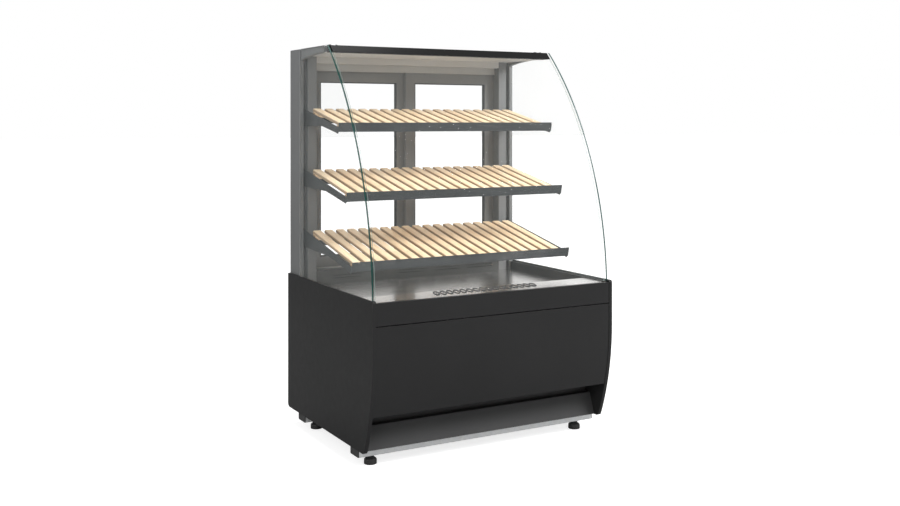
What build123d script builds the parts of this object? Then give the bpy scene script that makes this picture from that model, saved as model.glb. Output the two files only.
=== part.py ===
# Bread display case: a black base cabinet on a levelled steel plinth frame, a stainless deck,
# two rear columns that carry a roof, three tilted slatted shelves, glass sides, a curved front
# glass that lifts on a top hinge, and two sliding rear doors.
# The origin is at the centre of the footprint on the floor. +X is to the right seen from the
# front, the customer's side faces -Y, and +Z is up. Sizes are millimetres.
import os
from math import cos, radians, sin, sqrt, tan

from build123d import *

os.makedirs("parts", exist_ok=True)

# Overall sizes
width = 900.0
depth = 707.0
height = 1324.0                       # top of the roof and glass; the hinge knuckles stand 4 mm higher
rear = depth / 2                      # Y of the rear plane
front = -depth / 2                    # Y of the furthest front point

# Feet and plinth beams
foot_height = 32.0
foot_radius = 20.5
foot_sides = 24
beam_depth = 60.0
beam_height = 30.0
beam_wall = 2.0
beam_end_setback = 6.0                # from the overall width to the beams' ends
foot_end_setback = 52.0               # from a beam's end to the foot's centre
front_beam_setback = 110.0            # from the furthest front point to the beam's front face
rear_beam_setback = 95.0              # from the rear plane to the beam's rear face
beam_cap_thickness = 3.0
beam_length = width - 2 * beam_end_setback
foot_spacing_x = beam_length - 2 * foot_end_setback
beam_chamfer = 2.0
plug_depth = 16.0
stud_radius = 5.0
stud_clearance = 0.05

# Base cabinet
cabinet_bottom = 55.5
cabinet_top = 531.0
panel_thickness = 12.0
profile_tangent_z = 380.0             # the side panel's front edge is upright above this height
profile_radius = 852.0                # and curves back below it on this radius
corner_radius = 15.0
sheet = 1.5
front_inset = 1.5                     # the front panels lie this far behind the side panels' edge
band_top = 524.0
band_joint_z = 454.5
band_joint_gap = 3.0
main_panel_bottom = 174.0
panel_return = 40.0
recess_depth = 105.0                  # how far the main panel's bottom flange runs back
kick_top_setback = 110.0
kick_bottom_setback = 84.0
kick_top = 127.0
kick_bottom = 57.0
fit_gap = 0.3

# Deck
deck_z = 497.0
deck_flat_end = 455.0                 # from the rear plane, where the deck starts to rise
deck_rise_end = 575.0
deck_front_z = 523.0
deck_hole_radius = 4.6
deck_hole_pitch = 14.0                # along the middle row; the outer rows have every other hole
deck_hole_count = 28
deck_hole_row_gap = 7.0
hole_sides = 8                        # the small air holes are cut as prisms
deck_hole_setback = 84.0              # from the furthest front point to the middle row

# Rear columns with shelf slots
column_outer = width / 2 - 9
column_inner = column_outer - 62.5
column_depth = 93.0
column_wall = 2.5
slot_x = column_outer - 21.5
slot_recess = 17.0
slot_channel_width = 16.0
slot_width = 5.0
slot_height = 20.0
slot_first_z = 591.0
slot_count = 20
slot_pitch = (height - 64.2 - slot_first_z) / (slot_count - 1)

# Roof
roof_profile_depth = 12.0
roof_lip_reach = 20.0                 # how far the profile's lip closes the gap under the hinge
ceiling_z = height - 24
console_width = 16.0
console_low = height - 37.5                  # the console's lower edge at the column
console_high = height - 21                 # and where its curve runs out level
console_curve = 0.952                 # share of the console's length that the curve takes

# Glass
glass = 6.0
glass_inner_face = width / 2 - 12.3              # X of the side glass's inner face
glass_radius = 1180.0
glass_centre_z = 488.0
glass_front_setback = 18.0            # from the furthest front point to the glass at its centre height
glass_seat_z = 512.0
retainer_top = 526.0
front_glass_bottom = retainer_top + 0.5

# Front glass hinge and its top profile
hinge_to_rail = 9.5                   # from the hinge axis to the moving profile's back face
hinge_to_roof = 11.5                  # and to the fixed profile's face
hinge_z = height - 4
knuckle_radius = 8.0
knuckle_length = 14.0
knuckle_gap = 0.5
hinge_pin_radius = 3.0
running_clearance = 0.05
rail_height = 24.0
rail_half = glass_inner_face - 2.7
hinge_x = rail_half - 25
front_glass_half = rail_half - 3
rail_top_depth = 12.2                 # from the glass's inner face to the moving profile's back face

# Sliding doors
door_thickness = 16.0
stile = 38.0
door_outer = column_inner - 1
door_lap = 5.0                        # how far each door passes the middle
track_cover = 10.0                    # how much of each door's top and bottom rail the tracks hide
door_bottom = 537.0
door_top = height - 62
left_door_front = 32.0                # from the rear plane to each door's front face
right_door_front = 52.0
door_glass = 4.0
track_depth = 62.0
roller_radius = 8.0
roller_width = 5.0
roller_inset = 60.0
guide_depth = 8.0
track_clearance = 1.0

# Shelves
shelf_tilt = 12.1
shelf_half = column_outer - 19
bracket_outer = shelf_half - 0.8
bracket_thickness = 2.5
shelf_reach = [297.0, 361.0, 404.0]   # horizontal reach of each shelf from the columns
shelf_slot = [15, 9, 3]               # the slot each bracket's top hook sits in
hook_drop = 12.0                      # from the shelf's slope at the column down to the top slot's centre
lip_height = 31.0
lip_sheet = 1.5
ledge_depth = 26.0
bracket_drop = 16.0                   # the brackets' top edge lies this far below the lip's, under the slats
bracket_tip = 38.0
bracket_knee = 0.46
bracket_rear_height = 61.0
slat_count = 19
slat_width = 30.0
slat_thickness = 12.0
slat_drop = 1.0                       # from the lip's top edge down to the slats' top face
slat_span = 2 * shelf_half - 43.6
tray_left = 4 - shelf_half                    # the trays stand against the left brackets
slat_rear_gap = 61.0
slat_round = 1.5
batten_width = 20.0
tray_gap = 0.3

# Vents
louvre_rows = 6
louvre_columns = 3
louvre_size = (150.0, 4.0)
louvre_spacing = (190.0, 16.0)
air_slit_size = (110.0, 3.0)
air_slit_x = [-0.345, 0.0, 0.2, 0.385]  # as shares of the space between the columns
pull_size = (18.0, 130.0)


def write(name, *shapes):
    """Writes one node as a STEP file that holds the given solids."""
    solids = [s for shape in shapes for s in shape.solids()]
    whole = solids[0] if len(solids) == 1 else Compound(children=solids)
    export_step(whole, f"parts/{name}.step")


def block(x0, x1, y0, y1, z0, z1):
    """A box between two corners."""
    return Pos((x0 + x1) / 2, (y0 + y1) / 2, (z0 + z1) / 2) * Box(x1 - x0, y1 - y0, z1 - z0)


def back(distance):
    """The Y that lies this far in front of the rear plane."""
    return rear - distance


def along_x(face_yz, x0, x1):
    """Extrudes a closed Y-Z outline, drawn as (y, z), from x0 to x1."""
    return Pos(x0, 0, 0) * extrude(Plane.YZ * face_yz, x1 - x0)


def polygon_x(points, x0, x1):
    return along_x(make_face(Polyline(*points, close=True)), x0, x1)


def rod_x(radius, x0, x1, y, z):
    return Pos((x0 + x1) / 2, y, z) * Rot(0, 90, 0) * Cylinder(radius, x1 - x0)


def rod_y(radius, x, y0, y1, z):
    return Pos(x, (y0 + y1) / 2, z) * Rot(90, 0, 0) * Cylinder(radius, y1 - y0)


def rod_z(radius, x, y, z0, z1):
    return Pos(x, y, (z0 + z1) / 2) * Cylinder(radius, z1 - z0)


def front_edge_y(z, inset=0.0):
    """Y of the cabinet's front edge at a height, moved in by an inset along its normal."""
    drop = max(0.0, profile_tangent_z - z)
    reach = profile_radius - inset
    return front + profile_radius - sqrt(reach**2 - drop**2)


def front_arc(z_low, inset):
    """The curved lower stretch of the cabinet's front edge, from the tangent height down."""
    middle = (profile_tangent_z + z_low) / 2
    return ThreePointArc(
        (front_edge_y(profile_tangent_z, inset), profile_tangent_z),
        (front_edge_y(middle, inset), middle),
        (front_edge_y(z_low, inset), z_low),
    )


def glass_y(z, inset=0.0):
    """Y of the front glass's outer face at a height."""
    centre_y = front + glass_front_setback + glass_radius
    return centre_y - sqrt((glass_radius - inset) ** 2 - (z - glass_centre_z) ** 2)


def glass_arc(z_low, z_high, inset=0.0):
    middle = (z_low + z_high) / 2
    return ThreePointArc(
        (glass_y(z_low, inset), z_low), (glass_y(middle, inset), middle), (glass_y(z_high, inset), z_high)
    )


beam_y = {"front": front + front_beam_setback + beam_depth / 2, "rear": back(rear_beam_setback + beam_depth / 2)}
beam_top = foot_height + beam_height


# Distances from the rear plane of the parts that follow the glass's top edge
rail_back = rear - glass_y(height, glass) - rail_top_depth
hinge_y_from_rear = rail_back - hinge_to_rail
roof_front = hinge_y_from_rear - hinge_to_roof


def plinth():
    """Two rectangular tubes across the cabinet with plastic plugs in their ends."""
    for place, y in beam_y.items():
        outer = Pos(0, y, foot_height + beam_height / 2) * Box(beam_length, beam_depth, beam_height)
        inner = Pos(0, y, foot_height + beam_height / 2) * Box(
            beam_length, beam_depth - 2 * beam_wall, beam_height - 2 * beam_wall
        )
        tube = chamfer(outer.edges().filter_by(Axis.X), beam_chamfer) - inner
        for side in (-1, 1):
            x = side * foot_spacing_x / 2
            tube -= rod_z(stud_radius + stud_clearance, x, y, foot_height - 1, foot_height + beam_wall + 1)
        write(f"plinth_beam_{place}", tube)
    plugs = []
    for y in beam_y.values():
        for side in (-1, 1):
            end = side * beam_length / 2
            flange = Pos(end + side * beam_cap_thickness / 2, y, foot_height + beam_height / 2) * Box(
                beam_cap_thickness, beam_depth, beam_height
            )
            flange = chamfer(flange.edges().filter_by(Axis.X), beam_chamfer)
            spigot = Pos(end - side * plug_depth / 2, y, foot_height + beam_height / 2) * Box(
                plug_depth, beam_depth - 2 * beam_wall - 2 * fit_gap, beam_height - 2 * beam_wall - 2 * fit_gap
            )
            plugs.append(flange + spigot)
    write("plinth_beam_plugs", *plugs)


def feet():
    """Four levelling feet, each a faceted pad under a hexagon and a threaded stud."""
    pad_height, neck_height = 14.0, 7.0
    pad = extrude(RegularPolygon(foot_radius, foot_sides), pad_height)
    neck = Pos(0, 0, pad_height) * extrude(RegularPolygon(foot_radius, foot_sides), neck_height, taper=48)
    hexagon = Pos(0, 0, pad_height) * extrude(RegularPolygon(12, 6), foot_height - fit_gap - pad_height)
    stud = rod_z(stud_radius, 0, 0, pad_height, beam_top - beam_wall - 3)
    foot = pad + neck + hexagon + stud
    for place, y in beam_y.items():
        for side, hand in ((-1, "left"), (1, "right")):
            write(f"foot_{place}_{hand}", Pos(side * foot_spacing_x / 2, y, 0) * foot)


def side_panels():
    """Two coated side panels with the bowed front edge and a slot for the side glass."""
    low_y = front_edge_y(cabinet_bottom)
    for side, hand in ((-1, "left"), (1, "right")):
        edge = [
            Line((rear, cabinet_bottom), (rear, cabinet_top)),
            Line((rear, cabinet_top), (front, cabinet_top)),
            Line((front, cabinet_top), (front, profile_tangent_z)),
            front_arc(cabinet_bottom, 0.0),
            Line((low_y, cabinet_bottom), (rear, cabinet_bottom)),
        ]
        x0 = -width / 2 if side < 0 else width / 2 - panel_thickness
        panel = along_x(make_face(edge), x0, x0 + panel_thickness)
        uprights = panel.edges().filter_by(Axis.X)
        low = [e for e in uprights if e.center().Z < cabinet_bottom + 1]
        panel = fillet(low, corner_radius)
        top_front = [
            e for e in panel.edges().filter_by(Axis.X)
            if e.center().Z > cabinet_top - 1 and e.center().Y < front + 1
        ]
        panel = fillet(top_front, corner_radius / 2)
        seat = sorted((side * (glass_inner_face - 1), side * (glass_inner_face + glass + fit_gap)))
        rebate = block(*seat, front - 1, back(column_depth), glass_seat_z, cabinet_top + 1)
        rebate_end = block(*seat, front - 1, glass_y(glass_seat_z) - 2, glass_seat_z - 1, cabinet_top + 1)
        inside = sorted((side * (column_outer + fit_gap), side * column_inner))
        column_notch = block(*inside, back(column_depth + fit_gap), rear + 1, deck_z - 60, cabinet_top + 1)
        panel = panel - (rebate - rebate_end) - column_notch
        cap_face = side * (beam_length / 2 + beam_cap_thickness + fit_gap)
        for y in beam_y.values():
            reach = beam_depth / 2 + fit_gap
            panel -= block(*sorted((cap_face, side * column_inner)), y - reach, y + reach, 0, beam_top + fit_gap)
        write(f"side_panel_{hand}", panel)


inner_half = width / 2 - panel_thickness


def front_panels():
    """The upper fascia band, the bowed main panel and the sloping kick panel, all folded sheet."""
    half = inner_half - fit_gap
    top = band_top
    outer_y = front + front_inset
    band = polygon_x(
        [
            (outer_y, top), (outer_y, band_joint_z), (outer_y + 14, band_joint_z),
            (outer_y + 14, band_joint_z + sheet), (outer_y + sheet, band_joint_z + sheet),
            (outer_y + sheet, top - sheet), (outer_y + 9, top - sheet), (outer_y + 9, top),
        ],
        -half, half,
    )
    write("front_band", band)

    main_top = band_joint_z - band_joint_gap
    low = main_panel_bottom
    low_out = front_edge_y(low, front_inset)
    low_in = front_edge_y(low + sheet, front_inset + sheet)
    inner_tangent = front_edge_y(profile_tangent_z, front_inset + sheet)
    middle = (profile_tangent_z + low) / 2
    edge = [
        Line((outer_y + panel_return, main_top), (outer_y, main_top)),
        Line((outer_y, main_top), (outer_y, profile_tangent_z)),
        front_arc(low, front_inset),
        Line((low_out, low), (low_out + recess_depth, low)),
        Line((low_out + recess_depth, low), (low_out + recess_depth, low + sheet)),
        Line((low_out + recess_depth, low + sheet), (low_in, low + sheet)),
        ThreePointArc(
            (low_in, low + sheet),
            (front_edge_y(middle, front_inset + sheet), middle),
            (inner_tangent, profile_tangent_z),
        ),
        Line((inner_tangent, profile_tangent_z), (inner_tangent, main_top - sheet)),
        Line((inner_tangent, main_top - sheet), (outer_y + panel_return, main_top - sheet)),
        Line((outer_y + panel_return, main_top - sheet), (outer_y + panel_return, main_top)),
    ]
    write("front_main_panel", along_x(make_face(edge), -half, half))

    top_y = front + kick_top_setback
    low_y = front + kick_bottom_setback
    back_y = top_y + 25
    kick = polygon_x(
        [
            (top_y, kick_top), (low_y, kick_bottom), (low_y + 24, kick_bottom), (low_y + 24, kick_bottom + sheet),
            (low_y + sheet * 1.1, kick_bottom + sheet), (top_y + sheet, kick_top - sheet),
            (back_y + sheet, kick_top - sheet), (back_y + sheet, main_panel_bottom - fit_gap),
            (back_y, main_panel_bottom - fit_gap), (back_y, kick_top),
        ],
        -half, half,
    )
    write("kick_panel", kick)


def cabinet_inside():
    """The floor sheet, the two deck rails that join the side panels, and the rear service panel."""
    half = inner_half - fit_gap
    floor_front = front + kick_top_setback + 28
    floor = block(-half, half, floor_front, back(20), beam_top + fit_gap, beam_top + fit_gap + sheet)
    up = block(-half, half, floor_front, floor_front + sheet, beam_top + fit_gap, beam_top + 25)
    write("floor_sheet", floor + up)
    rails = []
    for y in (back(120.0), back(deck_rise_end - 20)):
        outer = Pos(0, y, deck_z - 40) * Box(2 * half, 30, 30)
        inner = Pos(0, y, deck_z - 40) * Box(2 * half, 27, 27)
        rails.append(outer - inner)
    write("deck_rails", *rails)
    panel = block(-half, half, back(sheet + 2), back(2), beam_top + 4, deck_z - 45)
    for row in range(louvre_rows):
        z = beam_top + 60 + louvre_spacing[1] * row
        for column in range(louvre_columns):
            x = (column - (louvre_columns - 1) / 2) * louvre_spacing[0]
            panel -= Pos(x, back(2), z) * Box(louvre_size[0], 10, louvre_size[1])
    write("rear_service_panel", panel)
    sill = block(-column_inner + fit_gap, column_inner - fit_gap, back(sheet + 2), back(2), deck_z - 44.7,
                 door_bottom - 17)
    write("rear_sill_cover", sill)
    heads = []
    for x in (-half + 14, 0, half - 14):
        for z in (beam_top + 18, deck_z - 60):
            head = extrude(Plane.XZ * RegularPolygon(4.5, 12), 1.8)
            heads.append(Pos(x, back(0.2), z) * head)
    write("service_panel_screws", *heads)


def deck():
    """The stainless deck: flat at the rear, rising to the front, with a staggered row of air holes."""
    half = inner_half - fit_gap
    rear_y = back(column_depth + 2)
    flat_y = back(deck_flat_end)
    rise_y = back(deck_rise_end)
    end_y = front + front_inset + 15
    lines = [(rear_y, deck_z), (flat_y, deck_z), (rise_y, deck_front_z), (end_y, deck_front_z)]
    under = [(y, z - sheet) for y, z in reversed(lines)]
    pan = polygon_x(lines + under, -half, half)
    apron = block(-half, half, end_y, end_y + sheet, deck_front_z - 40, deck_front_z - sheet / 2)
    pan += apron
    middle_y = front + deck_hole_setback
    for row in (-1, 0, 1):
        step = 1 if row == 0 else 2
        count = deck_hole_count // step
        for i in range(count):
            x = (i - (count - 1) / 2) * deck_hole_pitch * step
            y = middle_y + row * deck_hole_row_gap
            pan -= Pos(x, y, deck_front_z - 5) * extrude(RegularPolygon(deck_hole_radius, hole_sides), 10)
    write("deck", pan)
    trim = block(-half, half, end_y - 5 - fit_gap, end_y - fit_gap, deck_front_z - 12, deck_front_z + 1)
    strips = [trim]
    for side in (-1, 1):
        x0, x1 = sorted((side * (glass_inner_face - 6.3), side * (glass_inner_face - fit_gap)))
        above = [(y, z) for y, z in lines] + [(end_y, retainer_top), (rear_y, retainer_top)]
        strips.append(polygon_x(above, x0, x1))
    write("glass_retainers", *strips)


def columns():
    """Rear columns: hollow profiles with a recessed channel of bracket slots down the front."""
    for side, hand in ((-1, "left"), (1, "right")):
        low, high = deck_z - 45, height - 2
        x0, x1 = sorted((side * column_inner, side * column_outer))
        outer = block(x0, x1, back(column_depth), rear - 0.5, low, high)
        inner = block(
            x0 + column_wall, x1 - column_wall, back(column_depth - column_wall), rear - 0.5 - column_wall, low, high
        )
        channel_outer = block(
            side * slot_x - slot_channel_width / 2 - column_wall, side * slot_x + slot_channel_width / 2 + column_wall,
            back(column_depth), back(column_depth - slot_recess - column_wall), low, high,
        )
        channel = block(
            side * slot_x - slot_channel_width / 2, side * slot_x + slot_channel_width / 2,
            back(column_depth + 1), back(column_depth - slot_recess), low - 1, high + 1,
        )
        profile = (outer - inner) + channel_outer - channel
        slots = [
            Pos(side * slot_x, back(column_depth - slot_recess), slot_first_z + i * slot_pitch)
            * Box(slot_width, 3 * column_wall, slot_height)
            for i in range(slot_count)
        ]
        write(f"column_{hand}", profile - slots)


def roof():
    """Roof sheet, ceiling cover, side consoles with a rounded inner corner, and the front profile."""
    half = column_inner - fit_gap
    low, high = height - 2 + fit_gap, height
    rear_part = block(-column_outer, column_outer, back(column_depth), rear - 0.5, low, high)
    reach = glass_inner_face - fit_gap
    front_part = block(-reach, reach, back(roof_front), back(column_depth), low, high)
    write("roof_sheet", rear_part + front_part)
    consoles = []
    y0, y1 = back(roof_front), back(column_depth + fit_gap)
    curve = console_curve * (y1 - y0)
    bend = y1 - curve
    radius = (curve**2 + (console_high - console_low) ** 2) / (2 * (console_high - console_low))
    halfway_drop = radius - sqrt(radius**2 - (curve / 2) ** 2)
    outline = [
        Line((y0, height - 2), (y0, console_high)),
        Line((y0, console_high), (bend, console_high)),
        ThreePointArc(
            (bend, console_high), (bend + curve / 2, console_high - halfway_drop), (y1, console_low)
        ),
        Line((y1, console_low), (y1, height - 2)),
        Line((y1, height - 2), (y0, height - 2)),
    ]
    for side in (-1, 1):
        x0, x1 = sorted((side * (reach - console_width), side * reach))
        consoles.append(along_x(make_face(outline), x0, x1))
    write("roof_consoles", *consoles)
    inner_x = reach - console_width - fit_gap
    cover = block(-inner_x, inner_x, back(roof_front - roof_profile_depth), back(column_depth + fit_gap),
                  ceiling_z, ceiling_z + sheet)
    write("ceiling_cover", cover)
    profile = block(-inner_x, inner_x, back(roof_front), back(roof_front - roof_profile_depth + fit_gap),
                    ceiling_z, height - 2)
    lip = block(-rail_half, rail_half, back(roof_front + roof_lip_reach), back(roof_front), ceiling_z, ceiling_z + 3)
    write("roof_front_profile", profile + lip)
    header_top = height - 2
    header = block(-half, half, back(column_depth), back(track_depth + 4), ceiling_z - 23, header_top)
    write("header_cover", header)


def tracks():
    """Upper and lower door tracks with one groove for each door, and the inner wall below them."""
    half = column_inner - fit_gap
    doors_y = [back(left_door_front - door_thickness / 2), back(right_door_front - door_thickness / 2)]
    track_top = door_bottom + track_cover
    upper = block(-half, half, back(track_depth), back(6), door_top - track_cover, height - 2)
    lower = block(-half, half, back(track_depth), back(6), door_bottom - 16.5, track_top)
    for y in doors_y:
        groove = door_thickness + 2 * track_clearance
        upper -= block(-half - 1, half + 1, y - groove / 2, y + groove / 2, door_top - 12, door_top + guide_depth)
        lower -= block(-half - 1, half + 1, y - groove / 2, y + groove / 2, door_bottom - roller_radius + 1,
                       track_top + 1)
    write("door_track_upper", upper)
    write("door_track_lower", lower)
    wall = block(-half, half, back(column_depth), back(column_depth - sheet), deck_z - 30, track_top)
    ledge = block(-half, half, back(column_depth - sheet), back(track_depth + fit_gap), track_top - sheet, track_top)
    wall += ledge
    for i in range(8):
        for row in range(2):
            hole = extrude(Plane.XZ * RegularPolygon(2.0, hole_sides), 10, both=True)
            wall -= Pos(8 * i - 0.42 * column_inner, back(column_depth), deck_z + 11 + 8 * row) * hole
    for share in air_slit_x:
        for row in range(2):
            z = deck_z + 17 + 10 * row
            wall -= Pos(share * 2 * column_inner, back(column_depth), z) * Box(air_slit_size[0], 8, air_slit_size[1])
    write("rear_inner_wall", wall)


def door(hand, side, front_face):
    """One sliding door: mitred frame, pane, moulded pull and two rollers in its lower rail."""
    outer = side * door_outer
    inner = -side * door_lap
    x0, x1 = sorted((outer, inner))
    y0, y1 = back(front_face), back(front_face - door_thickness)
    rail = stile + track_cover
    frame = block(x0, x1, y0, y1, door_bottom, door_top) - block(
        x0 + stile, x1 - stile, y0 - 1, y1 + 1, door_bottom + rail, door_top - rail
    )
    pane_y = (y0 + y1) / 2
    frame -= block(
        x0 + stile - 8, x1 - stile + 8, pane_y - door_glass / 2 - fit_gap, pane_y + door_glass / 2 + fit_gap,
        door_bottom + rail - 8, door_top - rail + 8,
    )
    for x in (x0, x1):
        bead_x = x + (stile - 10 if x == x0 else 10 - stile)
        frame -= Pos(bead_x, y0, (door_bottom + door_top) / 2) * Box(1.5, 2, door_top - door_bottom - 2 * rail)
    pull_x = outer - side * stile / 2
    pull_z = (door_bottom + door_top) / 2
    pull_slot = Pos(pull_x, y1, pull_z) * Box(pull_size[0] + 2 * fit_gap, 8, pull_size[1] + 2 * fit_gap)
    frame -= pull_slot
    rollers = []
    for x in (x0 + roller_inset, x1 - roller_inset):
        frame -= Pos(x, pane_y, door_bottom) * Box(2 * roller_radius + 4, roller_width + 1, 2 * roller_radius + 4)
        frame -= rod_y(1.6, x, y0 + 2, y1 - 2, door_bottom + 1)
        disc = extrude(Plane.XZ * RegularPolygon(roller_radius, 24), roller_width / 2, both=True)
        wheel = Pos(x, pane_y, door_bottom + 1) * disc
        pin = extrude(Plane.XZ * RegularPolygon(1.6, 8), (y1 - y0) / 2 - 2, both=True)
        axle = Pos(x, pane_y, door_bottom + 1) * pin
        rollers.append(wheel + axle)
    write(f"{hand}_door_frame", frame)
    write(f"{hand}_door_rollers", *rollers)
    pane = block(
        x0 + stile - 7, x1 - stile + 7, pane_y - door_glass / 2, pane_y + door_glass / 2,
        door_bottom + rail - 7, door_top - rail + 7,
    )
    write(f"{hand}_door_pane", pane)
    pull = Pos(pull_x, y1 - 2, pull_z) * Box(pull_size[0], 4, pull_size[1])
    dish = Pos(pull_x, y1, pull_z) * Box(pull_size[0] - 6, 5, pull_size[1] - 12)
    write(f"{hand}_door_pull", pull - fillet(dish.edges().filter_by(Axis.Y), 5.0))


def side_glasses():
    """Flat side panes with the curved front edge, seated in the side panels' slots."""
    rear_y = back(column_depth + fit_gap)
    front_y, top_y = glass_y(glass_seat_z), glass_y(height)
    edge = [
        glass_arc(glass_seat_z, height),
        Line((top_y, height), (rear_y, height)),
        Line((rear_y, height), (rear_y, glass_seat_z)),
        Line((rear_y, glass_seat_z), (front_y, glass_seat_z)),
    ]
    for side, hand in ((-1, "left"), (1, "right")):
        x0, x1 = sorted((side * glass_inner_face, side * (glass_inner_face + glass)))
        write(f"side_glass_{hand}", along_x(make_face(edge), x0, x1))


def front_glass():
    """The bent front pane, the profile bonded behind its top edge, and the hinge."""
    low_y, low_inner = glass_y(front_glass_bottom), glass_y(front_glass_bottom, glass)
    top_y, top_inner = glass_y(height), glass_y(height, glass)
    pane_edge = [
        glass_arc(front_glass_bottom, height),
        Line((top_y, height), (top_inner, height)),
        glass_arc(front_glass_bottom, height, glass),
        Line((low_y, front_glass_bottom), (low_inner, front_glass_bottom)),
    ]
    write("front_glass", along_x(make_face(pane_edge), -front_glass_half, front_glass_half))

    low = height - rail_height
    bonded = glass
    outer = [
        glass_arc(low, height, bonded),
        Line((top_inner, height), (back(rail_back), height)),
        Line((back(rail_back), height), (back(rail_back), low)),
        Line((back(rail_back), low), (glass_y(low, bonded), low)),
    ]
    rail = along_x(make_face(outer), -rail_half, rail_half)

    hinge_y = back(hinge_y_from_rear)
    fixed, moving = [], []
    pins = []
    for side in (-1, 1):
        centre = side * hinge_x
        half_fixed = knuckle_length / 2
        barrel = rod_x(knuckle_radius, centre - half_fixed, centre + half_fixed, hinge_y, hinge_z)
        arm = block(centre - half_fixed, centre + half_fixed, hinge_y, back(roof_front), hinge_z - 7, hinge_z + 3)
        bore = rod_x(hinge_pin_radius, centre - 20, centre + 20, hinge_y, hinge_z)
        fixed.append(barrel + arm - bore)
        for step in (-1, 1):
            inner_face = centre + step * (half_fixed + knuckle_gap)
            outer_face = inner_face + step * (knuckle_length / 2)
            a, b = sorted((inner_face, outer_face))
            loop = rod_x(knuckle_radius, a, b, hinge_y, hinge_z)
            leaf = block(a, b, back(rail_back), hinge_y, hinge_z - 7, hinge_z + 3)
            running = rod_x(hinge_pin_radius + running_clearance, a - 1, b + 1, hinge_y, hinge_z)
            moving.append(loop + leaf - running)
        reach = half_fixed + knuckle_gap + knuckle_length / 2
        pins.append(rod_x(hinge_pin_radius, centre - reach, centre + reach, hinge_y, hinge_z))
    rail = rail + moving
    write("front_glass_profile", rail)
    write("hinge_brackets", *fixed)
    write("hinge_pins", *pins)


def shelf_place(index):
    """The Y and Z of the top front edge of a shelf's lip."""
    lip_y = back(column_depth) - shelf_reach[index]
    rise = shelf_reach[index] * tan(radians(shelf_tilt))
    column_z = slot_first_z + shelf_slot[index] * slot_pitch + hook_drop
    return lip_y, column_z - rise


def shelf(index):
    """One shelf: two hooked brackets, a folded lip, a rear rail, and a lift-out slatted tray."""
    number = index + 1
    lip_y, lip_z = shelf_place(index)
    reach = shelf_reach[index]
    c, s = cos(radians(shelf_tilt)), sin(radians(shelf_tilt))

    def at(u, v):
        """A point u behind the lip along the shelf's slope and v above that slope."""
        return (lip_y + u * c - v * s, lip_z + u * s + v * c)

    slope = reach / c
    rear_top = at(slope, -bracket_drop)
    rear_face = back(column_depth - slot_recess) - fit_gap
    knee_y, knee_z = at(slope * bracket_knee, -bracket_tip - 4)
    outline = [
        at(0, -bracket_drop), (rear_face, rear_top[1]), (rear_face, rear_top[1] - bracket_rear_height), (knee_y, knee_z),
        at(24, -bracket_tip), at(6, -bracket_tip), at(0, -lip_height),
    ]
    hook_depth = column_wall + fit_gap + 3.0
    brackets = []
    for side in (-1, 1):
        x1 = side * bracket_outer
        x0 = x1 - side * bracket_thickness
        a, b = sorted((x0, x1))
        plate = polygon_x([at(lip_sheet, -bracket_drop)] + outline[1:6] + [at(lip_sheet, -lip_height)], a, b)
        for hook in range(2):
            hook_z = slot_first_z + (shelf_slot[index] - hook) * slot_pitch
            low = hook_z - slot_height / 2 + fit_gap
            tab = block(a, b, rear_face, rear_face + hook_depth, low, hook_z - 2)
            toe = block(a, b, rear_face + hook_depth - 2.5, rear_face + hook_depth, low - 4, hook_z - 2)
            plate += tab + toe
        brackets.append(plate)
    write(f"shelf_{number}_brackets", *brackets)

    lip = polygon_x(
        [
            at(0, 0), at(lip_sheet, 0), at(lip_sheet, -lip_height + lip_sheet),
            at(ledge_depth, -lip_height + lip_sheet), at(ledge_depth, -lip_height), at(0, -lip_height),
        ],
        -shelf_half, shelf_half,
    )
    for side in (-1, 1):
        a, b = sorted((side * (shelf_half + 1), side * (bracket_outer - bracket_thickness - fit_gap)))
        lip -= polygon_x([at(lip_sheet, 5), at(60, 5), at(60, -60), at(lip_sheet, -60)], a, b)
    write(f"shelf_{number}_lip", lip)

    inner = bracket_outer - bracket_thickness
    rail_top = -lip_height + lip_sheet
    slat_end = (reach - slat_rear_gap) / c
    u0 = slat_end - 30
    rail = polygon_x([at(u0, rail_top), at(u0 + 26, rail_top), at(u0 + 26, rail_top - 18), at(u0, rail_top - 18)],
                     -inner, inner)
    hollow = polygon_x(
        [at(u0 + 1.5, rail_top - 1.5), at(u0 + 24.5, rail_top - 1.5), at(u0 + 24.5, rail_top - 16.5),
         at(u0 + 1.5, rail_top - 16.5)],
        -inner - 1, inner + 1,
    )
    write(f"shelf_{number}_rear_rail", rail - hollow)

    pitch = (slat_span - slat_width) / (slat_count - 1)
    one = polygon_x(
        [at(4, -slat_drop), at(slat_end, -slat_drop), at(slat_end, -slat_drop - slat_thickness),
         at(4, -slat_drop - slat_thickness)],
        0, slat_width,
    )
    top_edges = one.edges().filter_by(lambda e: e.length > 100).sort_by(Axis.Z)[-2:]
    one = chamfer(top_edges, slat_round)
    slats = [Pos(tray_left + i * pitch, 0, 0) * one for i in range(slat_count)]
    write(f"tray_{number}_slats", *slats)
    batten_low = rail_top + tray_gap
    battens = []
    for u in (4, u0 + 3):
        battens.append(
            polygon_x(
                [at(u, -slat_drop - slat_thickness), at(u + batten_width, -slat_drop - slat_thickness),
                 at(u + batten_width, batten_low), at(u, batten_low)],
                tray_left, tray_left + slat_span,
            )
        )
    write(f"tray_{number}_battens", *battens)


plinth()
feet()
side_panels()
front_panels()
cabinet_inside()
deck()
columns()
roof()
tracks()
door("left", -1, left_door_front)
door("right", 1, right_door_front)
side_glasses()
front_glass()
for shelf_index in range(len(shelf_reach)):
    shelf(shelf_index)
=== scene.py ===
import math

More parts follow.
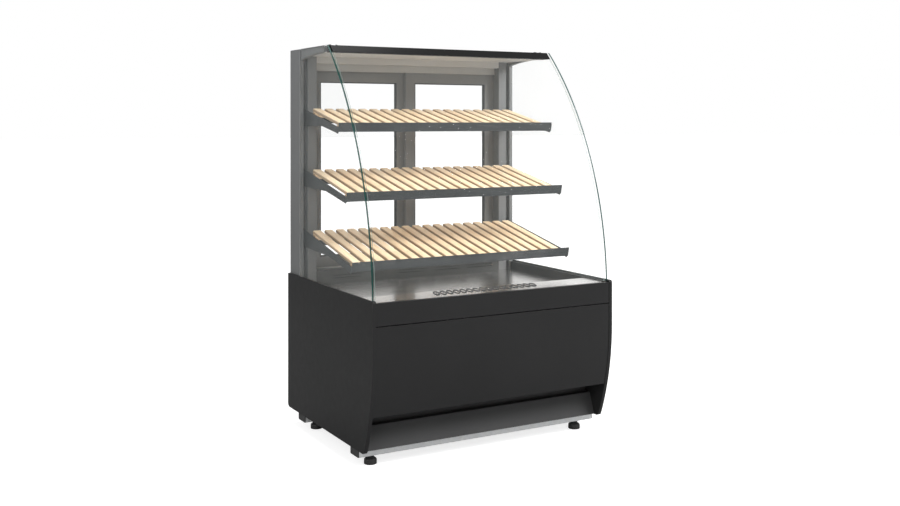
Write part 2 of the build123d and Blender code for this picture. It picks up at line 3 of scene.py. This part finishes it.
import bpy
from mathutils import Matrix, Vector


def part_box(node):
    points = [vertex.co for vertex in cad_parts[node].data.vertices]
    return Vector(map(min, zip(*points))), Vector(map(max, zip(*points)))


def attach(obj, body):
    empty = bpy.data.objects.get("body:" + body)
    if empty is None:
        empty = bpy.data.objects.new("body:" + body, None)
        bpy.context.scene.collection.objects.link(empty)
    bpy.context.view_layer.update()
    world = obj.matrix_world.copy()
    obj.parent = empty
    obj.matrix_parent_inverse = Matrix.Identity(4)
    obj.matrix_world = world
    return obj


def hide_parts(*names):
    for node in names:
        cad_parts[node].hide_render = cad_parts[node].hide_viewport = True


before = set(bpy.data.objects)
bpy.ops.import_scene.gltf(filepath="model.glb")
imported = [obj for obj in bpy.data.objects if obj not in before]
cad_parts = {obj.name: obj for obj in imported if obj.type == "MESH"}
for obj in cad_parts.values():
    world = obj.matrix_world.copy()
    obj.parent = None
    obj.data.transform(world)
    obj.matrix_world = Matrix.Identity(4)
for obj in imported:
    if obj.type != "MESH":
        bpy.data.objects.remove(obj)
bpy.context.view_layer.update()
print("frame loaded")

tilt = math.radians(12.1)  # the shelves' slope, down to the customer
smoothAngle = math.radians(35)  # faces that meet at less than this are shaded as one


# Small helpers: a clean selection, a box, modifiers, copies and joins
def clearSelection():
    if bpy.context.mode != "OBJECT":
        bpy.ops.object.mode_set(mode="OBJECT")
    bpy.ops.object.select_all(action="DESELECT")


def activate(piece):
    clearSelection()
    piece.select_set(True)
    bpy.context.view_layer.objects.active = piece


def newBox(name, low, high):
    clearSelection()
    centre = [(a + b) / 2 for a, b in zip(low, high)]
    bpy.ops.mesh.primitive_cube_add(size=1, location=centre)
    piece = bpy.context.object
    piece.scale = [b - a for a, b in zip(low, high)]
    piece.name = name
    settle(piece)
    return piece


def settle(piece):
    activate(piece)
    bpy.ops.object.transform_apply(location=True, rotation=True, scale=True)


def modify(piece, kind, **settings):
    activate(piece)
    modifier = piece.modifiers.new(kind.lower(), kind)
    for key, value in settings.items():
        setattr(modifier, key, value)
    bpy.ops.object.modifier_apply(modifier=modifier.name)


def selectTop(piece):  # leaves the piece in edit mode with its upward faces selected
    activate(piece)
    bpy.ops.object.mode_set(mode="EDIT")
    bpy.ops.mesh.select_mode(type="FACE")
    bpy.ops.mesh.select_all(action="DESELECT")
    bpy.ops.object.mode_set(mode="OBJECT")
    for face in piece.data.polygons:
        face.select = face.normal.z > 0.9
    bpy.ops.object.mode_set(mode="EDIT")


def copyPiece(piece, name, move):
    copy = piece.copy()
    copy.data = piece.data.copy()
    copy.name = name
    bpy.context.scene.collection.objects.link(copy)
    copy.location = move
    settle(copy)
    return copy


def joinPieces(pieces, name):
    activate(pieces[0])
    for piece in pieces[1:]:
        piece.select_set(True)
    bpy.ops.object.join()
    whole = bpy.context.object
    whole.name = name
    whole.data.name = name
    return whole


def dress(piece, body, material):
    settle(piece)
    piece.data.materials.clear()
    piece.data.materials.append(material)
    activate(piece)
    bpy.ops.object.shade_smooth_by_angle(angle=smoothAngle)
    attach(piece, body)


# Shader building: a wire wraps a socket, and an expression on wires adds its Math nodes
class Wire:
    def __init__(self, graph, socket):
        self.graph, self.socket = graph, socket

    def maths(self, operation, first, second=0.0):
        return self.graph.node("ShaderNodeMath", {"operation": operation}, {0: first, 1: second})[0]

    def __add__(self, other):
        return self.maths("ADD", self, other)

    def __radd__(self, other):
        return self.maths("ADD", other, self)

    def __sub__(self, other):
        return self.maths("SUBTRACT", self, other)

    def __rsub__(self, other):
        return self.maths("SUBTRACT", other, self)

    def __mul__(self, other):
        return self.maths("MULTIPLY", self, other)

    def __rmul__(self, other):
        return self.maths("MULTIPLY", other, self)

    def __truediv__(self, other):
        return self.maths("DIVIDE", self, other)

    def __gt__(self, other):
        return self.maths("GREATER_THAN", self, other)

    def __lt__(self, other):
        return self.maths("LESS_THAN", self, other)

    def larger(self, other):
        return self.maths("MAXIMUM", self, other)

    def root(self):
        return self.maths("SQRT", self)

    def floor(self):
        return self.maths("FLOOR", self)

    def size(self):
        return self.maths("ABSOLUTE", self)


class Outputs:
    def __init__(self, graph, made):
        self.graph, self.made = graph, made

    def __getitem__(self, key):
        return Wire(self.graph, self.made.outputs[key])


class Graph:
    def __init__(self, name, tree=None):
        if tree is None:
            self.material = bpy.data.materials.new(name)
            self.material.use_nodes = True
            tree = self.material.node_tree
        self.tree = tree
        tree.nodes.clear()

    def node(self, kind, settings=None, inputs=None):
        made = self.tree.nodes.new(kind)
        for key, value in (settings or {}).items():
            setattr(made, key, value)
        for key, value in (inputs or {}).items():
            if isinstance(value, Wire):
                self.tree.links.new(value.socket, made.inputs[key])
            else:
                made.inputs[key].default_value = value
        return Outputs(self, made)

    def stretched(self, vector, scale):
        return self.node("ShaderNodeMapping", None, {"Vector": vector, "Scale": scale})[0]

    def place(self, scale=(1, 1, 1)):
        return self.stretched(self.node("ShaderNodeTexCoord")["Object"], scale)

    def parts(self, vector):
        apart = self.node("ShaderNodeSeparateXYZ", None, {0: vector})
        return apart[0], apart[1], apart[2]

    def axes(self):
        return self.parts(self.node("ShaderNodeTexCoord")["Object"])

    def facing(self):
        return self.parts(self.node("ShaderNodeNewGeometry")["True Normal"])

    def noise(self, scale, stretch=(1, 1, 1), detail=3.0, vector=None):
        vector = vector or self.place(stretch)
        return self.node("ShaderNodeTexNoise", None, {"Vector": vector, "Scale": scale, "Detail": detail})[0]

    def blendColours(self, factor, first, second):
        made = self.tree.nodes.new("ShaderNodeMix")
        made.data_type = "RGBA"
        for index, value in ((0, factor), (6, first), (7, second)):
            if isinstance(value, Wire):
                self.tree.links.new(value.socket, made.inputs[index])
            else:
                made.inputs[index].default_value = value if index == 0 else (*value, 1.0)
        return Wire(self, made.outputs[2])

    def range(self, value, low, high, newLow, newHigh):
        return self.node("ShaderNodeMapRange", None, {0: value, 1: low, 2: high, 3: newLow, 4: newHigh})[0]

    def bump(self, heights, strength, distance, edge=0.0):
        inputs = {"Height": heights, "Strength": strength, "Distance": distance}
        if edge:
            inputs["Normal"] = self.node("ShaderNodeBevel", {"samples": 4}, {"Radius": edge})[0]
        return self.node("ShaderNodeBump", None, inputs)[0]

    def surface(self, **inputs):
        named = {key.replace("_", " "): value for key, value in inputs.items()}
        shader = self.node("ShaderNodeBsdfPrincipled", None, named)[0]
        self.node("ShaderNodeOutputMaterial", None, {"Surface": shader})
        return self.material


# Powder coats: nearly even colour, a fine orange peel and softly rounded edges
coatLook = {"black": (0.0195, 0.0195, 0.0198), "grey": (0.175, 0.179, 0.18), "shelf": (0.026, 0.029, 0.031),
            "pale": (0.56, 0.55, 0.53), "kick": (0.058, 0.058, 0.0585), "wall": (0.052, 0.052, 0.050),
            "door": (0.215, 0.215, 0.212), "track": (0.46, 0.455, 0.44), "rail": (0.005, 0.005, 0.0053),
            "cloud": 3.5, "rub": 38, "peel": 900, "edge": 0.0007}


def powderCoat(name, colour, roughness, shine):
    g = Graph(name)
    cloud = g.noise(coatLook["cloud"], detail=4)
    peel = g.noise(coatLook["peel"], detail=2)
    rub = g.noise(coatLook["rub"], detail=5)
    light = tuple(c * 1.06 for c in colour)
    dark = tuple(c * 0.95 for c in colour)
    tone = g.blendColours(g.range(cloud, 0.3, 0.7, 0, 1), dark, light)
    rough = g.range(rub, 0.3, 0.75, roughness - 0.02, roughness + 0.03)
    normal = g.bump(peel, 0.07, 0.0003, coatLook["edge"])
    return g.surface(Base_Color=tone, Roughness=rough, Normal=normal, Specular_IOR_Level=shine)


# Each coat: its name, colour, roughness and shine
blackCoat = powderCoat("blackCoat", coatLook["black"], 0.40, 0.09)
greyCoat = powderCoat("greyCoat", coatLook["grey"], 0.44, 0.22)
# The kick panel's coat is the black coat made about three times lighter: painted light on the recessed kick
# panel, which the lamps leave in shade.
kickCoatPaintedLight = powderCoat("kickCoatPaintedLight", coatLook["kick"], 0.40, 0.09)
wallCoat = powderCoat("wallCoat", coatLook["wall"], 0.34, 0.3)
doorCoat = powderCoat("doorCoat", coatLook["door"], 0.42, 0.22)
paleCoat = powderCoat("paleCoat", coatLook["pale"], 0.40, 0.3)
shelfCoat = powderCoat("shelfCoat", coatLook["shelf"], 0.38, 0.2)
darkTrack = powderCoat("anodisedTrack", coatLook["track"], 0.36, 0.3)
railBlack = powderCoat("anodisedBlack", coatLook["rail"], 0.36, 0.08)

# Bare metals and plastics
metalLook = {"stainless": ((0.75, 0.735, 0.715), (0.81, 0.795, 0.775)), "brush": (7, 900, 900),
             "galvanised": ((0.64, 0.65, 0.655), (0.72, 0.73, 0.735)), "spangle": 130.0,
             "zinc": (0.47, 0.47, 0.48), "zincGrain": 700}
plasticLook = {"black": (0.018, 0.018, 0.018), "rubber": (0.012, 0.012, 0.012), "grain": 1400, "patch": 9}


def stainlessSteel():
    g = Graph("brushedStainless")
    lines = g.noise(1.0, metalLook["brush"], 3)  # brushed along the deck's width
    haze = g.noise(4.0)
    colour = g.blendColours(g.range(lines, 0.3, 0.7, 0, 1), *metalLook["stainless"])
    rough = g.range(lines, 0.25, 0.75, 0.20, 0.26) + g.range(haze, 0.3, 0.7, -0.02, 0.03)
    normal = g.bump(lines, 0.025, 0.0001, 0.0006)
    return g.surface(Base_Color=colour, Metallic=1.0, Roughness=rough, Normal=normal)


def galvanisedSteel():
    g = Graph("galvanisedSteel")
    spread = {"Vector": g.place(), "Scale": metalLook["spangle"]}
    cells = g.node("ShaderNodeTexVoronoi", {"feature": "F1"}, spread)
    tint = g.node("ShaderNodeSeparateColor", None, {0: cells["Color"]})[0]
    colour = g.blendColours(tint, *metalLook["galvanised"])
    rough = g.range(tint, 0, 1, 0.42, 0.54)
    normal = g.bump(g.noise(500), 0.06, 0.0003, 0.0006)
    return g.surface(Base_Color=colour, Metallic=0.55, Roughness=rough, Normal=normal)


def zincPlate():
    g = Graph("zincPlate")
    fine = g.noise(metalLook["zincGrain"], (0.05, 1, 1), 3)
    dull = tuple(c * 0.88 for c in metalLook["zinc"])
    tone = g.blendColours(g.range(fine, 0.3, 0.7, 0, 1), dull, metalLook["zinc"])
    rough = g.range(fine, 0.3, 0.7, 0.29, 0.39)
    normal = g.bump(fine, 0.05, 0.0002, 0.0004)
    return g.surface(Base_Color=tone, Metallic=0.85, Roughness=rough, Normal=normal)


def mouldedPlastic(name, colour, roughness):
    g = Graph(name)
    grain = g.noise(plasticLook["grain"], detail=2)
    patch = g.noise(plasticLook["patch"], detail=4)
    tone = g.blendColours(patch, tuple(c * 0.8 for c in colour), tuple(c * 1.3 for c in colour))
    rough = g.range(patch, 0.3, 0.7, roughness - 0.06, roughness + 0.06)
    return g.surface(Base_Color=tone, Roughness=rough, Normal=g.bump(grain, 0.25, 0.0003, 0.0004))


# Glass: a thin veil on the faces and darker ground edges
# The pale edge colour and its alpha paint a highlight along the front pane's ground edges.
glassLook = {"tint": (0.90, 0.96, 0.945), "edge": (0.012, 0.05, 0.043), "pale": (0.55, 0.70, 0.66),
             # The side panes' alpha, thicker than the others', is partly the glass's tint and partly a
             # painted sheen of the bright surroundings.
             "band": (0.003, 0.003, 0.003), "faceAlpha": 0.018, "sideAlpha": 0.048, "edgeAlpha": 0.93,
             "paleAlpha": 0.4, "seatedFrom": 0.25, "bandFrom": 1.3005, "shine": 0.08,
             "facing": 0.7, "under": 0.9, "smear": 6}


def clearGlass(name, kind, faceAlpha, edgeColour=glassLook["edge"], edgeAlpha=glassLook["edgeAlpha"]):
    g = Graph(name)
    across, back, up = g.facing()
    sideways = across.size() > glassLook["facing"]
    band = None
    if kind == "side":  # its ground front and top edges show, and the rear one is seated in the column
        edge = (1 - sideways) * (g.axes()[1] < glassLook["seatedFrom"])
    elif kind == "bent":  # its edges face sideways or down, and its top is glued to the black rail
        edge = sideways.larger((0 - up) > glassLook["under"])
        band = g.axes()[2] > glassLook["bandFrom"]
    else:  # a door's pane
        edge = 1 - (back.size() > glassLook["facing"])
    smear = g.noise(glassLook["smear"], detail=5)
    colour = g.blendColours(edge, glassLook["tint"], edgeColour)
    veil = g.range(smear, 0.3, 0.75, faceAlpha * 0.85, faceAlpha * 1.25)
    alpha = veil + edge * (edgeAlpha - faceAlpha)
    rough = 0.03 + edge * 0.12
    if band:
        colour = g.blendColours(band, colour, glassLook["band"])
        alpha = alpha.larger(band)
        rough = rough + band * 0.25
    return g.surface(Base_Color=colour, Roughness=rough, Alpha=alpha, IOR=1.5,
                     Specular_IOR_Level=glassLook["shine"])


# Beech: the slats' places also choose each slat's own piece of grain
slatLook = {"count": 19, "width": 0.030, "thickness": 0.012, "pitch": 0.0428, "left": -0.418, "round": 0.0042,
            "endGap": 0.0004}
# The dark brown given to the slats' side faces is painted shade, not a colour of the beech.
beechLook = {"pale": (0.95, 0.77, 0.52), "warm": (0.86, 0.63, 0.385), "streak": (0.50, 0.30, 0.14),
             "sawn": (0.27, 0.155, 0.075), "bright": (0.93, 0.78, 0.56), "brown": (0.62, 0.40, 0.20),
             "grain": (90, 3.2, 60), "figure": (22, 1.6, 22), "fleck": (600, 38, 600), "levels": 4.7}


def beechWood():
    g = Graph("oiledBeech")
    x, y, z = g.axes()
    halfGap = (slatLook["pitch"] - slatLook["width"]) / 2
    board = ((x - slatLook["left"] + halfGap) / slatLook["pitch"]).floor()
    level = (z * beechLook["levels"]).floor()
    byNumber = {"noise_dimensions": "1D"}  # two seeds for each slat, so that no two share their grain
    seed = g.node("ShaderNodeTexWhiteNoise", byNumber, {"W": board * 3.7 + level * 11.3})[0]
    seedTwo = g.node("ShaderNodeTexWhiteNoise", byNumber, {"W": board * 1.9 + level * 5.1 + 40.0})[0]
    shifts = {0: x + seed * 3.0, 1: y + seed * 7.0, 2: z + seedTwo * 5.0}
    moved = g.node("ShaderNodeCombineXYZ", None, shifts)[0]
    grain = g.noise(1.0, detail=6, vector=g.stretched(moved, beechLook["grain"]))
    figure = g.noise(1.0, detail=3, vector=g.stretched(moved, beechLook["figure"]))
    fleck = g.noise(1.0, detail=2, vector=g.stretched(moved, beechLook["fleck"]))
    sideways = g.facing()[0].size()
    wood = g.blendColours(g.range(grain, 0.34, 0.68, 0, 1), beechLook["pale"], beechLook["warm"])
    for amount, colour in (
        (g.range(figure, 0.52, 0.78, 0, 0.42), "streak"),
        (g.range(fleck, 0.6, 0.8, 0, 0.35), "streak"),
        (g.range(seedTwo, 0, 1, 0, 0.34), "bright"),
        (g.range(seed, 0.55, 1, 0, 0.28), "brown"),
        # painted shade: the slats' side faces darkened toward dark brown, as if shaded in the gaps
        (g.range(sideways, 0.6, 1.0, 0, 0.8), "sawn"),
    ):
        wood = g.blendColours(amount, wood, beechLook[colour])
    rough = g.range(grain, 0.3, 0.7, 0.46, 0.60)
    height = grain * 0.6 + fleck * 0.4
    return g.surface(Base_Color=wood, Roughness=rough, Normal=g.bump(height, 0.18, 0.0006))


stainless = stainlessSteel()
galvanised = galvanisedSteel()
zinc = zincPlate()
blackPlastic = mouldedPlastic("blackPlastic", plasticLook["black"], 0.55)
rubber = mouldedPlastic("blackRubber", plasticLook["rubber"], 0.7)
# The side panes get a thicker pale veil than the others, which lightens what lies behind them: partly the
# glass's own tint and partly a painted sheen.
sideGlass = clearGlass("sideGlass", "side", glassLook["sideAlpha"])
# The front pane's edges are real ground edges, but they are painted pale green instead of dark: a painted
# highlight along them.
frontGlass = clearGlass("frontGlass", "bent", glassLook["faceAlpha"], glassLook["pale"],
                        glassLook["paleAlpha"])
doorGlass = clearGlass("doorGlass", "door", glassLook["faceAlpha"])
beech = beechWood()

# Every CAD node gets its finish by the start of its name, and the last line that fits wins
finishes = (
    (greyCoat, ("",)),
    (stainless, ("deck",)),
    (frontGlass, ("front_glass",)),
    (blackCoat, ("side_panel", "front_band", "front_main_panel", "rear_service_panel", "rear_sill_cover")),
    # the kick panel gets the lightened coat, which is painted light
    (kickCoatPaintedLight, ("kick_panel",)),
    (wallCoat, ("rear_inner_wall",)),
    (paleCoat, ("header_cover", "roof_front_profile", "ceiling_cover")),
    (darkTrack, ("door_track",)),
    (doorCoat, ("left_door_frame", "right_door_frame")),
    (shelfCoat, ("shelf",)),
    (galvanised, ("plinth_beam_front", "plinth_beam_rear", "floor_sheet", "deck_rails")),
    (zinc, ("hinge_brackets", "hinge_pins", "service_panel_screws")),
    (blackPlastic, ("left_door_rollers", "right_door_rollers", "left_door_pull", "right_door_pull",
                    "plinth_beam_plugs", "foot")),
    (railBlack, ("front_glass_profile",)),
    (rubber, ("glass_retainers",)),
    (sideGlass, ("side_glass",)),
    (doorGlass, ("left_door_pane", "right_door_pane")),
    (beech, ("tray",)),
)
for name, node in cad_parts.items():
    fitting = [material for material, starts in finishes if name.startswith(starts)]
    node.data.materials.clear()
    node.data.materials.append(fitting[-1])
print("finishes set")


# The trays' slats, one modelled and the rest copied along the shelf
def makeSlats(number):
    low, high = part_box(f"tray_{number}_slats")
    wide, thick = slatLook["width"], slatLook["thickness"]
    length = (high.y - low.y - math.sin(tilt) * thick) / math.cos(tilt)
    reach = length / 2 - slatLook["endGap"]
    first = newBox("slat", (0, -reach, -thick / 2), (wide, reach, thick / 2))
    modify(first, "BEVEL", width=slatLook["round"], segments=4, limit_method="ANGLE")
    first.rotation_euler = (tilt, 0, 0)
    first.location = (0, (low.y + high.y) / 2, (low.z + high.z) / 2)
    settle(first)
    slats = [copyPiece(first, f"slat{i}", (slatLook["left"] + i * slatLook["pitch"], 0, 0))
             for i in range(slatLook["count"])]
    bpy.data.objects.remove(first)
    whole = joinPieces(slats, f"tray{number}Slats")
    dress(whole, f"tray_{number}", beech)
    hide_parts(f"tray_{number}_slats")


for number in (1, 2, 3):
    makeSlats(number)
print("slats made")

# Levelling feet: a grooved pad with two shoulders, a hexagon and a stud
footLook = {"radius": 0.0203, "padHeight": 0.014, "grooves": 5, "grooveFrom": 0.0028, "groovePitch": 0.0022,
            "grooveRadius": 0.0007, "grooveSink": 0.0006, "padEdge": 0.0009, "hexRadius": 0.0118,
            "hexHeight": 0.0125, "hexMiddle": 0.02525, "stud": 0.0049, "studFrom": 0.031, "edge": 0.0006,
            "shoulders": ((0.0035, 0.86), (0.003, 0.74))}  # how far each one rises and draws in


def makeFoot(node, body):
    low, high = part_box(node)
    clearSelection()
    top = footLook["padHeight"]
    bpy.ops.mesh.primitive_cylinder_add(vertices=64, radius=footLook["radius"], depth=top,
                                        location=(0, 0, top / 2))
    pad = bpy.context.object
    settle(pad)
    selectTop(pad)
    for rise, drawIn in footLook["shoulders"]:
        top += rise
        bpy.ops.mesh.extrude_region_move(TRANSFORM_OT_translate={"value": (0, 0, rise)})
        bpy.ops.transform.resize(value=(drawIn, drawIn, 1), center_override=(0, 0, top))
    bpy.ops.object.mode_set(mode="OBJECT")
    modify(pad, "BEVEL", width=footLook["padEdge"], segments=2, limit_method="ANGLE",
           angle_limit=math.radians(25))
    pieces = [pad]
    for ring in range(footLook["grooves"]):
        clearSelection()
        height = footLook["grooveFrom"] + ring * footLook["groovePitch"]
        bpy.ops.mesh.primitive_torus_add(major_segments=64, minor_segments=8, location=(0, 0, height),
                                         major_radius=footLook["radius"] - footLook["grooveSink"],
                                         minor_radius=footLook["grooveRadius"])
        pieces.append(bpy.context.object)
    studHeight = high.z - footLook["studFrom"]
    for corners, radius, depth, middle in (
        (6, footLook["hexRadius"], footLook["hexHeight"], footLook["hexMiddle"]),
        (32, footLook["stud"], studHeight, footLook["studFrom"] + studHeight / 2),
    ):
        clearSelection()
        bpy.ops.mesh.primitive_cylinder_add(vertices=corners, radius=radius, depth=depth,
                                            location=(0, 0, middle))
        shank = bpy.context.object
        modify(shank, "BEVEL", width=footLook["edge"], segments=2, limit_method="ANGLE")
        pieces.append(shank)
    foot = joinPieces(pieces, node.replace("_", "") + "Detail")
    foot.location = ((low.x + high.x) / 2, (low.y + high.y) / 2, 0)
    dress(foot, body, blackPlastic)
    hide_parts(node)


for corner in ("front_left", "front_right", "rear_left", "rear_right"):
    makeFoot(f"foot_{corner}", f"foot_{corner}_body")
print("feet made")

# Dark oval rims over the deck's air holes
ventLook = {"count": 16, "pitch": 0.0245, "y": -0.265, "z": 0.5235, "halfWidth": 0.0085, "halfLength": 0.031,
            "rim": 0.0022, "flatten": 0.6, "turn": 20}


def makeVents():
    clearSelection()
    bpy.ops.mesh.primitive_torus_add(major_segments=32, minor_segments=6, major_radius=ventLook["halfWidth"],
                                     minor_radius=ventLook["rim"])
    ring = bpy.context.object
    ring.scale = (1, ventLook["halfLength"] / ventLook["halfWidth"], ventLook["flatten"])
    settle(ring)
    ring.rotation_euler = (0, 0, math.radians(-ventLook["turn"]))
    settle(ring)
    first = -ventLook["pitch"] * (ventLook["count"] - 1) / 2
    rims = [copyPiece(ring, f"vent{i}", (first + i * ventLook["pitch"], ventLook["y"], ventLook["z"]))
            for i in range(ventLook["count"])]
    bpy.data.objects.remove(ring)
    dress(joinPieces(rims, "deckVentRims"), "cabinet", blackPlastic)


makeVents()
print("vents made")

# Glazing beads round the door panes, in front and behind
gasketLook = {"width": 0.0035, "stile": 0.038, "rail": 0.048, "fromPane": 0.0021, "depth": 0.0055,
              "round": 0.0009}


def makeGasket(hand):
    low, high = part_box(f"{hand}_door_frame")
    w = gasketLook["width"]
    left, right = low.x + gasketLook["stile"], high.x - gasketLook["stile"]
    bottom, top = low.z + gasketLook["rail"], high.z - gasketLook["rail"]
    middle = (low.y + high.y) / 2
    beads = []
    for side in (-1, 1):
        near = middle + side * gasketLook["fromPane"]
        front, back = sorted((near, near + side * gasketLook["depth"]))
        for box in (
            ((left, front, bottom), (right, back, bottom + w)),
            ((left, front, top - w), (right, back, top)),
            ((left, front, bottom + w), (left + w, back, top - w)),
            ((right - w, front, bottom + w), (right, back, top - w)),
        ):
            bead = newBox("bead", *box)
            modify(bead, "BEVEL", width=gasketLook["round"], segments=2, limit_method="ANGLE")
            beads.append(bead)
    dress(joinPieces(beads, f"{hand}DoorGasket"), f"door_{hand}", rubber)


makeGasket("left")
makeGasket("right")
print("gaskets made")

# Socket screws that hold the rear service panel
screwLook = {"radius": 0.0042, "height": 0.0017, "socket": 0.0019, "socketDepth": 0.0011, "edge": 0.0004,
             "inFromEdge": 0.0045}


def makeScrew():
    clearSelection()
    bpy.ops.mesh.primitive_cylinder_add(vertices=24, radius=screwLook["radius"], depth=screwLook["height"],
                                        location=(0, 0, screwLook["height"] / 2))
    head = bpy.context.object
    settle(head)
    selectTop(head)
    bpy.ops.mesh.inset(thickness=screwLook["radius"] - screwLook["socket"])
    bpy.ops.mesh.extrude_region_move(TRANSFORM_OT_translate={"value": (0, 0, -screwLook["socketDepth"])})
    bpy.ops.object.mode_set(mode="OBJECT")
    modify(head, "BEVEL", width=screwLook["edge"], segments=2, limit_method="ANGLE",
           angle_limit=math.radians(40))
    head.rotation_euler = (math.radians(-90), 0, 0)  # the head looks to the back
    settle(head)
    return head


def rearScrews():
    low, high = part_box("service_panel_screws")
    inset = screwLook["inFromEdge"]
    model = makeScrew()
    spots = [(x, low.y, z) for x in (low.x + inset, 0, high.x - inset)
             for z in (low.z + inset, high.z - inset)]
    heads = [copyPiece(model, f"screw{i}", spot) for i, spot in enumerate(spots)]
    bpy.data.objects.remove(model)
    whole = joinPieces(heads, "servicePanelScrews")
    dress(whole, "cabinet", zinc)
    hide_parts("service_panel_screws")


rearScrews()
print("screws made")

# Light, floor and camera
ambient = 0.38  # how brightly the white surroundings light the case
floorLook = {"size": 120, "drop": 0.0005, "near": 1.2, "far": 3.5, "nearGlow": 0.78, "farGlow": 1.0,
             "tones": ((0.50, 0.50, 0.50), (0.52, 0.52, 0.52))}
lampLook = {
    "key": {"place": (2.4, -2.4, 3.4), "aim": (0, 0, 0.8), "size": 2.0, "watts": 255},
    "fill": {"place": (-3.4, -2.4, 2.6), "aim": (0, 0, 0.7), "size": 2.6, "watts": 66},
    "top": {"place": (0, 0.8, 3.8), "aim": (0, 0, 0.8), "size": 2.0, "watts": 70},
}
cameraLook = {"lens": 42.712, "sensor": 36, "shift": -0.1470, "place": (-1.8175, -3.2533, 1.0738),
              "turn": -29.39, "reach": 200}


def seenBy(g, *rays):  # 1 for the kinds of ray that should find a white background
    path = g.node("ShaderNodeLightPath")
    seen = path[rays[0]]
    for ray in rays[1:]:
        seen = seen.larger(path[ray])
    return seen


def makeWorld():
    world = bpy.data.worlds.new("studio")
    bpy.context.scene.world = world
    world.use_nodes = True
    g = Graph("studio", world.node_tree)
    seen = seenBy(g, "Is Camera Ray", "Is Transmission Ray", "Is Glossy Ray")
    strength = ambient + seen * (1 - ambient)
    light = g.node("ShaderNodeBackground", None, {"Color": (1, 1, 1, 1), "Strength": strength})[0]
    g.node("ShaderNodeOutputWorld", None, {"Surface": light})


def makeLamp(name, place, aim, size, watts):
    data = bpy.data.lights.new(name, "AREA")
    data.shape, data.size, data.energy = "SQUARE", size, watts
    lamp = bpy.data.objects.new(name, data)
    bpy.context.scene.collection.objects.link(lamp)
    lamp.location = place
    lamp.rotation_euler = (Vector(aim) - Vector(place)).to_track_quat("-Z", "Y").to_euler()


def makeFloor():
    clearSelection()
    bpy.ops.mesh.primitive_plane_add(size=floorLook["size"], location=(0, 0, -floorLook["drop"]))
    floor = bpy.context.object
    floor.name = "studioFloor"
    g = Graph("studioFloor")
    tone = g.blendColours(g.noise(2.0, detail=2), *floorLook["tones"])
    matt = g.node("ShaderNodeBsdfDiffuse", None, {"Color": tone})[0]
    x, y = g.axes()[:2]
    reach = (x * x + y * y).root()  # the floor keeps a shadow near the case and turns white further out
    white = g.range(reach, floorLook["near"], floorLook["far"], floorLook["nearGlow"], floorLook["farGlow"])
    strength = seenBy(g, "Is Camera Ray", "Is Transmission Ray") * white
    glow = g.node("ShaderNodeEmission", None, {"Color": (1, 1, 1, 1), "Strength": strength})[0]
    both = g.node("ShaderNodeAddShader", None, {0: matt, 1: glow})[0]
    g.node("ShaderNodeOutputMaterial", None, {"Surface": both})
    floor.data.materials.append(g.material)


def makeCamera():
    data = bpy.data.cameras.new("camera")
    data.sensor_width, data.lens = cameraLook["sensor"], cameraLook["lens"]
    data.shift_y, data.clip_end = cameraLook["shift"], cameraLook["reach"]
    camera = bpy.data.objects.new("camera", data)
    bpy.context.scene.collection.objects.link(camera)
    camera.location = cameraLook["place"]
    camera.rotation_euler = (math.radians(90), 0, math.radians(cameraLook["turn"]))
    bpy.context.scene.camera = camera


makeWorld()
makeFloor()
for name, look in lampLook.items():
    makeLamp(name, **look)
makeCamera()
bpy.context.scene.view_settings.view_transform = "Standard"
print("stage set")
